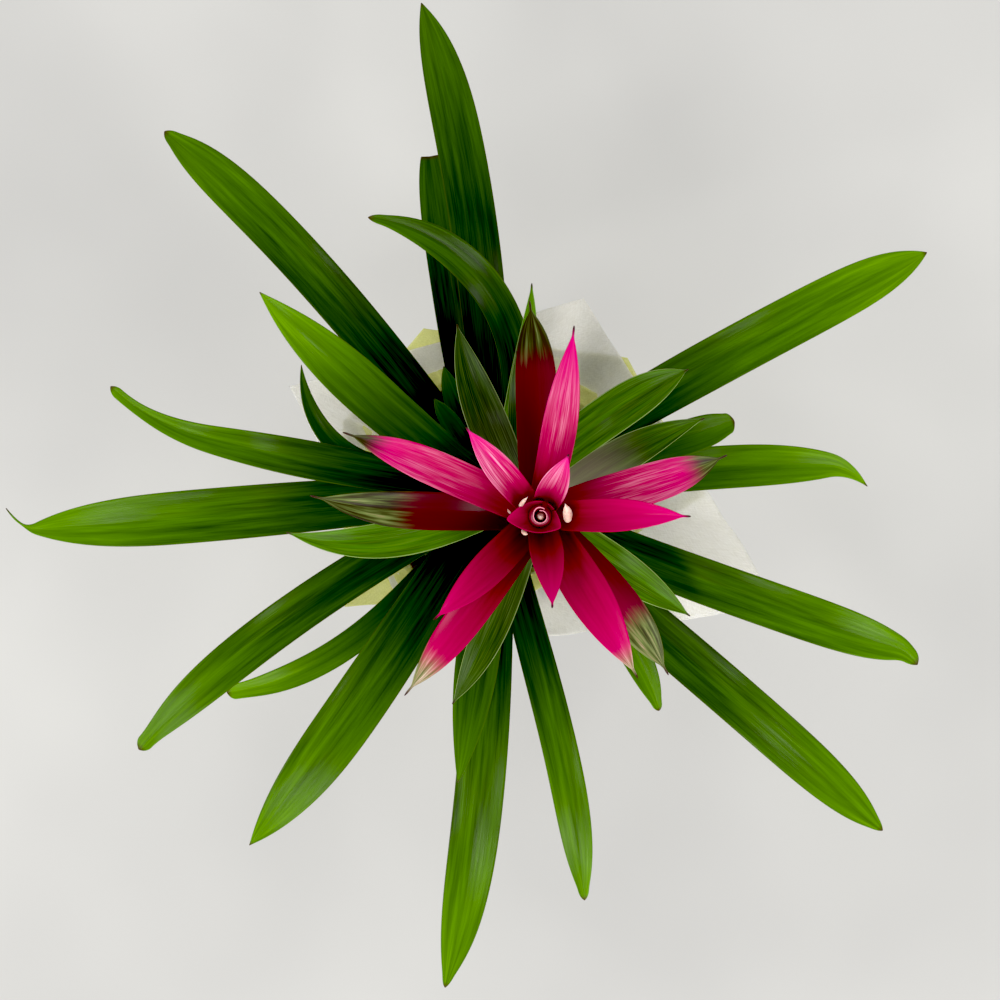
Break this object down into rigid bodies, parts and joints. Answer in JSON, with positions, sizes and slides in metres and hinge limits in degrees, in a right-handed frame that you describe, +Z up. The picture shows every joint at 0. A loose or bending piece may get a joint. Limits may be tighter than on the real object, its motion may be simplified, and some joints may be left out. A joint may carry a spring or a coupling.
{
  "type": "potted guzmania",
  "caption": "Potted bromeliad: arching strap leaves, a leaning stalk with a star of crimson-pink bracts, in a nursery pot gathered in two pleated paper wraps.",
  "frame": {"origin": "on the pot's axis, at the surface that the wrapped pot stands on", "axes": "+Z up; +X and +Y are right and up in a view from straight above"},
  "size_m": [0.4665, 0.5084, 0.3336],
  "materials": {
    "leaf": "glossy living leaf",
    "stalk_leaf": "glossy living leaf with a brownish-pink base",
    "bract": "waxy crimson-pink bract",
    "bud": "creamy waxy bud",
    "stem": "matt green stalk",
    "potting_mix": "rough bark and peat",
    "pot": "thin moulded polypropylene",
    "wrap_outer": "translucent off-white non-woven",
    "wrap_inner": "translucent yellow-green non-woven",
    "raffia": "natural raffia"
  },
  "bodies": {
    "root": {"leaf_01": "leaf", "leaf_02": "leaf", "leaf_03": "leaf", "leaf_04": "leaf", "leaf_05": "leaf", "leaf_06": "leaf", "leaf_07": "leaf", "leaf_08": "leaf", "leaf_09": "leaf", "leaf_10": "leaf", "leaf_11": "leaf", "leaf_12": "leaf", "leaf_13": "leaf", "leaf_14": "leaf", "leaf_15": "leaf", "leaf_16": "leaf", "leaf_17": "leaf", "leaf_18": "leaf", "leaf_19": "leaf", "leaf_20": "leaf", "leaf_21": "leaf", "leaf_22": "leaf", "stalk_leaf_1": "stalk_leaf", "stalk_leaf_2": "stalk_leaf", "stalk_leaf_3": "stalk_leaf", "stalk_leaf_4": "stalk_leaf", "stalk_leaf_5": "stalk_leaf", "stalk_leaf_6": "stalk_leaf", "stalk_leaf_7": "stalk_leaf", "stalk_leaf_8": "stalk_leaf", "bract_01": "bract", "bract_02": "bract", "bract_03": "bract", "bract_04": "bract", "bract_05": "bract", "bract_06": "bract", "bract_07": "bract", "bract_08": "bract", "bract_09": "bract", "bract_10": "bract", "bract_11": "bract", "bract_12": "bract", "bract_13": "bract", "bract_14": "bract", "bract_heart": "bract", "flower_bud_heart": "bud", "flower_bud_1": "bud", "flower_bud_2": "bud", "flower_bud_3": "bud", "flower_bud_4": "bud", "flower_bud_5": "bud", "stem_and_scape": "stem", "potting_mix": "potting_mix", "nursery_pot": "pot", "wrap_inner": "wrap_inner", "wrap_outer": "wrap_outer", "raffia_tie": "raffia"}
  },
  "joints": []
}
